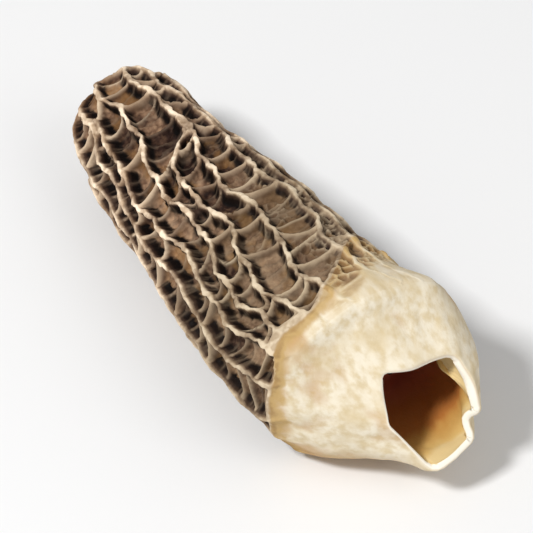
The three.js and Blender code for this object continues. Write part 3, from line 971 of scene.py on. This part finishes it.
def stem_colour(g):
    """Cream with straw stains and tan ones near the rim, gold and brown along the rim, painted tan shade in
    the creases and underneath, and the lace's holes, darker at depth as painted shade.
    """
    past, depth = g.value("past_rim"), g.value("depth")
    broad = g.noise(3.0, 3.0, (0.6, 1, 1))
    streaks = g.noise(0.9, 5.0, (0.4, 1, 1))
    fine = g.noise(0.6, 3.0)
    colour = g.blend(g.share(broad, 0.4, 0.75, 0.75), STEM_CREAM, STEM_STRAW)
    colour = g.blend(g.share(streaks, 0.36, 0.72, 0.85), colour, STEM_STRAW)
    # painted shade: tan in the creases that drying pushed in
    colour = g.blend(g.share(g.value("relief"), -0.04, -0.2, 0.55), colour, STEM_TAN_AND_SHADE)
    colour = g.blend(g.share(g.add(past, broad, -4.0), 0.0, -1.6, 0.5), colour, STEM_TAN_AND_SHADE)
    # painted shade: tan towards the bottom of the stem, on its shadow side
    height = g.node("SeparateXYZ", {"Vector": g.place}, "Z")
    under = g.math("MULTIPLY_ADD", height, 1 / MM, g.math("MULTIPLY", streaks, 5.0))
    colour = g.blend(g.share(under, 8.5, 4.0, 0.7), colour, STEM_TAN_AND_SHADE)
    lumps = g.add(g.math("MULTIPLY", fine, 0.8), g.noise(1.6), 2.4)
    edge = g.math("SUBTRACT", past, lumps)
    colour = g.blend(g.share(edge, -0.1, -1.0, 0.85), colour, RIM_GOLD)
    colour = g.blend(g.share(edge, -1.1, -1.8, 0.6), colour, RIM_BROWN)
    # the holes darken with depth as painted shade
    holes = g.ramp(g.math("MULTIPLY_ADD", fine, 0.1, depth), HOLE_COLOURS)
    return g.blend(g.share(depth, 0.02, 0.12, 0.9), colour, holes)


def hollow_colour(g):
    """Gold at the lip and redder further in; the gold reaches further in where it is partly painted light on
    the lit walls.
    """
    broad = g.noise(2.2, 3.0, (0.5, 1, 1))
    return g.ramp(g.add(g.value("into"), broad, 3.0, less=1.5), HOLLOW_COLOURS)


def make_material():
    g = Graph("dried_morel")
    inside = g.value("inside")
    rim = g.add(g.value("past_rim"), g.noise(0.9), 0.6, less=0.3)
    outer = g.blend(g.share(rim, -0.45, 0.0), cap_colour(g), stem_colour(g))
    lip = g.blend(g.share(inside, 0.06, 0.35), outer, LIP_WHITE)
    colour = g.blend(g.share(inside, 0.75, 1.0), lip, hollow_colour(g))
    g.set(g.shader.inputs["Base Color"], colour)
    g.set(g.shader.inputs["Specular IOR Level"], SHINE)
    g.set(g.shader.inputs["Roughness"], g.ease(g.noise(0.6), 0.3, 0.7, *ROUGHNESS))
    height = g.add(g.noise(0.22, 3.0), g.noise(0.07, 1.0), 0.4)
    bumps = {"Strength": BUMP_STRENGTH, "Distance": BUMP_HEIGHT * MM, "Height": height}
    g.set(g.shader.inputs["Normal"], g.node("Bump", bumps))
    return g.material


# ---- Stage: angles in degrees, lengths in metres ----

CAMERA = {"azimuth": 58.8, "elevation": 45, "distance": 0.60}
CAMERA_TARGET = (0.0015, -0.00035, 0.0105)
CAMERA_LENS = 395
CAMERA_CLIP = (0.01, 10)
KEY = {"azimuth": 8, "elevation": 54, "distance": 0.8, "size": 0.14, "power": 4.8}
FILL = {"azimuth": 110, "elevation": 45, "distance": 0.9, "size": 0.5, "power": 1.2}
WORLD_POWER = 0.4
FLOOR_SIZE = 6
FLOOR_GREY = 0.86
FLOOR_ROUGHNESS = 0.8


def put(name, data, azimuth, elevation, distance, target=(0, 0, 0)):
    """Places a camera or a light round the target, facing it; azimuth 0 is on its -Y side."""
    a, e = math.radians(azimuth), math.radians(elevation)
    back = Vector((math.sin(a) * math.cos(e), -math.cos(a) * math.cos(e), math.sin(e)))
    item = bpy.data.objects.new(name, data)
    item.location = Vector(target) + back * distance
    item.rotation_mode = "QUATERNION"
    item.rotation_quaternion = (-back).to_track_quat("-Z", "Y")
    bpy.context.scene.collection.objects.link(item)
    return item


def make_camera():
    data = bpy.data.cameras.new("camera")
    data.lens = CAMERA_LENS
    data.clip_start, data.clip_end = CAMERA_CLIP
    bpy.context.scene.camera = put("camera", data, **CAMERA, target=CAMERA_TARGET)


def area_light(name, size, power, **where):
    data = bpy.data.lights.new(name, "AREA")
    data.size, data.energy = size, power
    put(name, data, **where)


def make_stage():
    bpy.ops.mesh.primitive_plane_add(size=FLOOR_SIZE, location=(0, 0, 0))
    floor = bpy.context.object
    floor.name = "floor"
    material = bpy.data.materials.new("floor")
    material.use_nodes = True
    shader = material.node_tree.nodes["Principled BSDF"]
    shader.inputs["Base Color"].default_value = (FLOOR_GREY, FLOOR_GREY, FLOOR_GREY, 1)
    shader.inputs["Roughness"].default_value = FLOOR_ROUGHNESS
    floor.data.materials.append(material)
    world = bpy.data.worlds.new("studio")
    world.use_nodes = True
    world.node_tree.nodes["Background"].inputs["Color"].default_value = (1, 1, 1, 1)
    world.node_tree.nodes["Background"].inputs["Strength"].default_value = WORLD_POWER
    bpy.context.scene.world = world
    area_light("key", **KEY)
    area_light("fill", **FILL)


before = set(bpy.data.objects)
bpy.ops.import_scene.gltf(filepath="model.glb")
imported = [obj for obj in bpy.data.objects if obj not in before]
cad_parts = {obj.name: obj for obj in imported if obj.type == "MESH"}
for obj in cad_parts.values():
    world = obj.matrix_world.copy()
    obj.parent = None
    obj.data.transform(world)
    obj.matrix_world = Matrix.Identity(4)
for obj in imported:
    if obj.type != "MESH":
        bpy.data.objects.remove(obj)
bpy.context.scene.view_settings.view_transform = "Standard"
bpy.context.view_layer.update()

make_camera()
make_stage()
piece = make_piece()
piece.data.materials.append(make_material())
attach(piece, "root")
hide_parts("morel")
